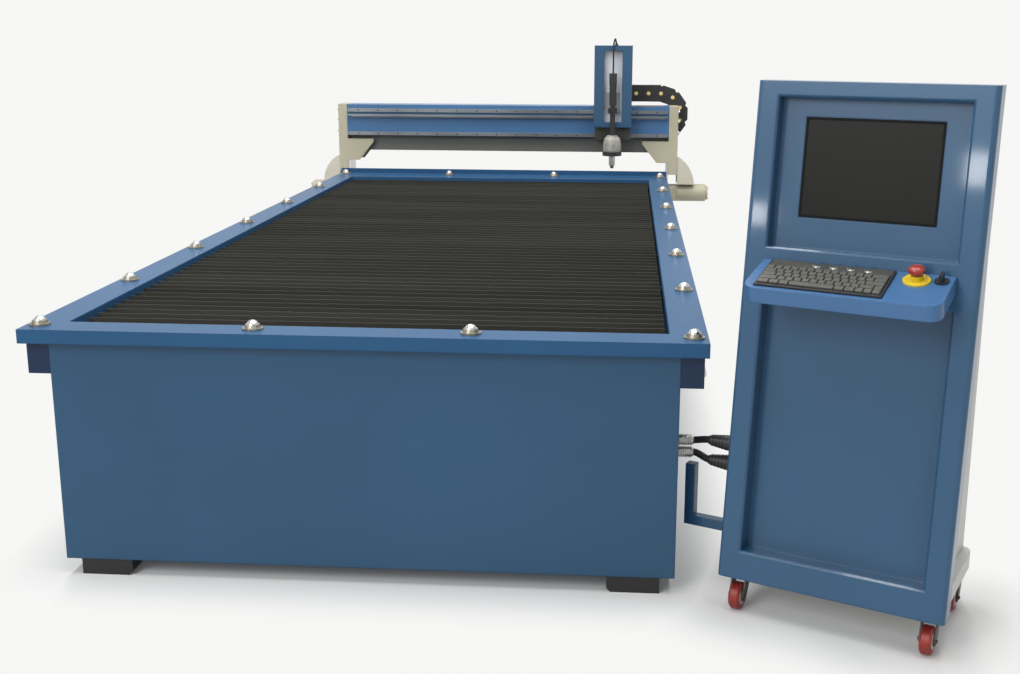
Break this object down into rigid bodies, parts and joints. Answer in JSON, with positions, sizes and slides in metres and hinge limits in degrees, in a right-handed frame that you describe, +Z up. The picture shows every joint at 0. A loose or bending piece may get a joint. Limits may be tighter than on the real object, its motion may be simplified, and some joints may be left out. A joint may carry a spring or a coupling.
{
  "type": "cnc plasma cutting table",
  "caption": "Plasma cutting table: slat bed in a steel tank, gantry on rack rails with a lifting torch head and energy chain, and a control console on casters.",
  "frame": {"origin": "on the floor, in the middle of the outline of the table and its console", "axes": "+X to the right across the bed as the operator stands at its front, +Y back along the bed, +Z up"},
  "size_m": [2.9102, 4.7748, 1.5214],
  "materials": {
    "tank": "satin",
    "rim_frame": "satin",
    "slats": "rough",
    "slat_support": "matt",
    "side_beams": "satin",
    "guide_rails": "ground",
    "racks": "ground",
    "tank_feet": "matt",
    "ball_housings": "polished",
    "transfer_balls": "polished",
    "cable_connectors": "matt",
    "control_cables": "matt",
    "gantry_beam": "satin",
    "beam_stiffener": "matt",
    "x_rails": "ground",
    "x_rack": "ground",
    "gantry_legs": "satin",
    "foot_plates": "machined",
    "guide_blocks": "ground",
    "drive_motors": "satin",
    "drive_covers": "satin",
    "chain_tray": "ground",
    "pinion_left": "ground",
    "pinion_right": "ground",
    "carriage_plate": "machined",
    "x_blocks": "satin",
    "x_motor": "matt",
    "head_cover": "satin",
    "head_panel": "machined",
    "x_pinion": "ground",
    "lift_screw": "ground",
    "chain_upper": "matt",
    "chain_loop": "matt",
    "lift_slide": "machined",
    "torch": "matt",
    "torch_tip": "ground",
    "torch_collar": "matt",
    "torch_lead": "matt",
    "console_cabinet": "satin",
    "console_front": "satin",
    "monitor_screen": "gloss",
    "keyboard_shelf": "satin",
    "keyboard": "matt",
    "estop_base": "gloss",
    "estop_head": "gloss",
    "mode_knob": "matt",
    "button_1": "polished",
    "button_2": "polished",
    "button_3": "polished",
    "button_4": "polished",
    "console_door": "satin",
    "door_latch": "matt",
    "guard_bar": "satin",
    "caster_fork_1": "zinc plated",
    "caster_fork_2": "zinc plated",
    "rear_forks": "zinc plated",
    "caster_wheel_1": "matt",
    "caster_wheel_2": "matt",
    "caster_wheel_3": "matt",
    "caster_wheel_4": "matt"
  },
  "bodies": {
    "table": {"tank": "tank", "rim_frame": "rim_frame", "slats": "slats", "slat_support": "slat_support", "side_beams": "side_beams", "guide_rails": "guide_rails", "racks": "racks", "tank_feet": "tank_feet", "ball_housings": "ball_housings", "transfer_balls": "transfer_balls", "cable_connectors": "cable_connectors", "control_cables": "control_cables", "console_cabinet": "console_cabinet", "console_front": "console_front", "monitor_screen": "monitor_screen", "keyboard_shelf": "keyboard_shelf", "keyboard": "keyboard", "estop_base": "estop_base", "guard_bar": "guard_bar", "rear_forks": "rear_forks"},
    "gantry": {"gantry_beam": "gantry_beam", "beam_stiffener": "beam_stiffener", "x_rails": "x_rails", "x_rack": "x_rack", "gantry_legs": "gantry_legs", "foot_plates": "foot_plates", "guide_blocks": "guide_blocks", "drive_motors": "drive_motors", "drive_covers": "drive_covers", "chain_tray": "chain_tray"},
    "carriage": {"carriage_plate": "carriage_plate", "x_blocks": "x_blocks", "x_motor": "x_motor", "head_cover": "head_cover", "head_panel": "head_panel", "chain_upper": "chain_upper"},
    "chain": {"chain_loop": "chain_loop"},
    "torch": {"lift_slide": "lift_slide", "torch": "torch", "torch_tip": "torch_tip", "torch_collar": "torch_collar", "torch_lead": "torch_lead"},
    "lift_screw": {"lift_screw": "lift_screw"},
    "x_pinion": {"x_pinion": "x_pinion"},
    "pinion_left": {"pinion_left": "pinion_left"},
    "pinion_right": {"pinion_right": "pinion_right"},
    "estop_head": {"estop_head": "estop_head"},
    "mode_knob": {"mode_knob": "mode_knob"},
    "button_1": {"button_1": "button_1"},
    "button_2": {"button_2": "button_2"},
    "button_3": {"button_3": "button_3"},
    "button_4": {"button_4": "button_4"},
    "console_door": {"console_door": "console_door"},
    "door_latch": {"door_latch": "door_latch"},
    "caster_fork_1": {"caster_fork_1": "caster_fork_1"},
    "caster_fork_2": {"caster_fork_2": "caster_fork_2"},
    "caster_wheel_1": {"caster_wheel_1": "caster_wheel_1"},
    "caster_wheel_2": {"caster_wheel_2": "caster_wheel_2"},
    "caster_wheel_3": {"caster_wheel_3": "caster_wheel_3"},
    "caster_wheel_4": {"caster_wheel_4": "caster_wheel_4"}
  },
  "joints": [
    {"name": "gantry_travel", "type": "slide", "parent": "table", "child": "gantry", "axis": [0, 1, 0], "range_m": [-3.76, 0]},
    {"name": "pinion_left_spin", "type": "hinge", "parent": "gantry", "child": "pinion_left", "pos_m": [-1.17708, 2.21637, 0.605], "axis": [1, 0, 0], "continuous": true},
    {"name": "pinion_right_spin", "type": "hinge", "parent": "gantry", "child": "pinion_right", "pos_m": [0.70092, 2.21637, 0.605], "axis": [1, 0, 0], "continuous": true},
    {"name": "carriage_travel", "type": "slide", "parent": "gantry", "child": "carriage", "axis": [1, 0, 0], "range_m": [-1.437, 0.163]},
    {"name": "x_pinion_spin", "type": "hinge", "parent": "carriage", "child": "x_pinion", "pos_m": [0.46424, 2.12837, 1.024], "axis": [0, 1, 0], "continuous": true},
    {"name": "chain_follow", "type": "slide", "parent": "carriage", "child": "chain", "axis": [1, 0, 0], "range_m": [-0.0815, 0.7185], "deforming": ["chain_upper"]},
    {"name": "torch_lift", "type": "slide", "parent": "carriage", "child": "torch", "axis": [0, 0, 1], "range_m": [-0.045, 0.035], "deforming": ["torch_lead"]},
    {"name": "lift_screw_spin", "type": "hinge", "parent": "carriage", "child": "lift_screw", "pos_m": [0.39924, 2.05537, 1.2], "axis": [0, 0, 1], "continuous": true},
    {"name": "estop_press", "type": "slide", "parent": "table", "child": "estop_head", "axis": [-0.111, -0.2338, 0.9659], "range_m": [-0.005, 0], "stiffness_N_per_m": 800, "springref_m": 0.002},
    {"name": "button_1_press", "type": "slide", "parent": "table", "child": "button_1", "axis": [-0.111, -0.2338, 0.9659], "range_m": [-0.003, 0], "stiffness_N_per_m": 300, "springref_m": 0.003},
    {"name": "button_2_press", "type": "slide", "parent": "table", "child": "button_2", "axis": [-0.111, -0.2338, 0.9659], "range_m": [-0.003, 0], "stiffness_N_per_m": 300, "springref_m": 0.003},
    {"name": "button_3_press", "type": "slide", "parent": "table", "child": "button_3", "axis": [-0.111, -0.2338, 0.9659], "range_m": [-0.003, 0], "stiffness_N_per_m": 300, "springref_m": 0.003},
    {"name": "button_4_press", "type": "slide", "parent": "table", "child": "button_4", "axis": [-0.111, -0.2338, 0.9659], "range_m": [-0.003, 0], "stiffness_N_per_m": 300, "springref_m": 0.003},
    {"name": "knob_turn", "type": "hinge", "parent": "table", "child": "mode_knob", "pos_m": [1.2519, -2.26767, 0.96041], "axis": [-0.111, -0.2338, 0.9659], "range_deg": [-45, 45]},
    {"name": "door_swing", "type": "hinge", "parent": "table", "child": "console_door", "pos_m": [1.40907, -1.95064, 0.7], "axis": [0, 0, -1], "range_deg": [0, 110]},
    {"name": "latch_turn", "type": "hinge", "parent": "console_door", "child": "door_latch", "pos_m": [1.05166, -1.78248, 0.7415], "axis": [0.4289, 0.9033, 0], "range_deg": [0, 90]},
    {"name": "caster_1_swivel", "type": "hinge", "parent": "table", "child": "caster_fork_1", "pos_m": [0.82522, -2.06352, 0.095], "axis": [0, 0, 1], "continuous": true},
    {"name": "caster_2_swivel", "type": "hinge", "parent": "table", "child": "caster_fork_2", "pos_m": [1.28773, -2.28313, 0.095], "axis": [0, 0, 1], "continuous": true},
    {"name": "caster_1_roll", "type": "hinge", "parent": "caster_fork_1", "child": "caster_wheel_1", "pos_m": [0.81235, -2.09062, 0.038], "axis": [0.9033, -0.4289, 0], "continuous": true},
    {"name": "caster_2_roll", "type": "hinge", "parent": "caster_fork_2", "child": "caster_wheel_2", "pos_m": [1.27486, -2.31023, 0.038], "axis": [0.9033, -0.4289, 0], "continuous": true},
    {"name": "caster_3_roll", "type": "hinge", "parent": "table", "child": "caster_wheel_3", "pos_m": [0.93503, -1.83226, 0.038], "axis": [0.9033, -0.4289, 0], "continuous": true},
    {"name": "caster_4_roll", "type": "hinge", "parent": "table", "child": "caster_wheel_4", "pos_m": [1.39753, -2.05188, 0.038], "axis": [0.9033, -0.4289, 0], "continuous": true}
  ],
  "couplings": [
    {"joint": "pinion_left_spin", "follows": "gantry_travel", "rad_per_m": 35.714},
    {"joint": "pinion_right_spin", "follows": "gantry_travel", "rad_per_m": 35.714},
    {"joint": "x_pinion_spin", "follows": "carriage_travel", "rad_per_m": -35.714},
    {"joint": "chain_follow", "follows": "carriage_travel", "ratio": -0.5},
    {"joint": "lift_screw_spin", "follows": "torch_lift", "rad_per_m": 628.32}
  ]
}
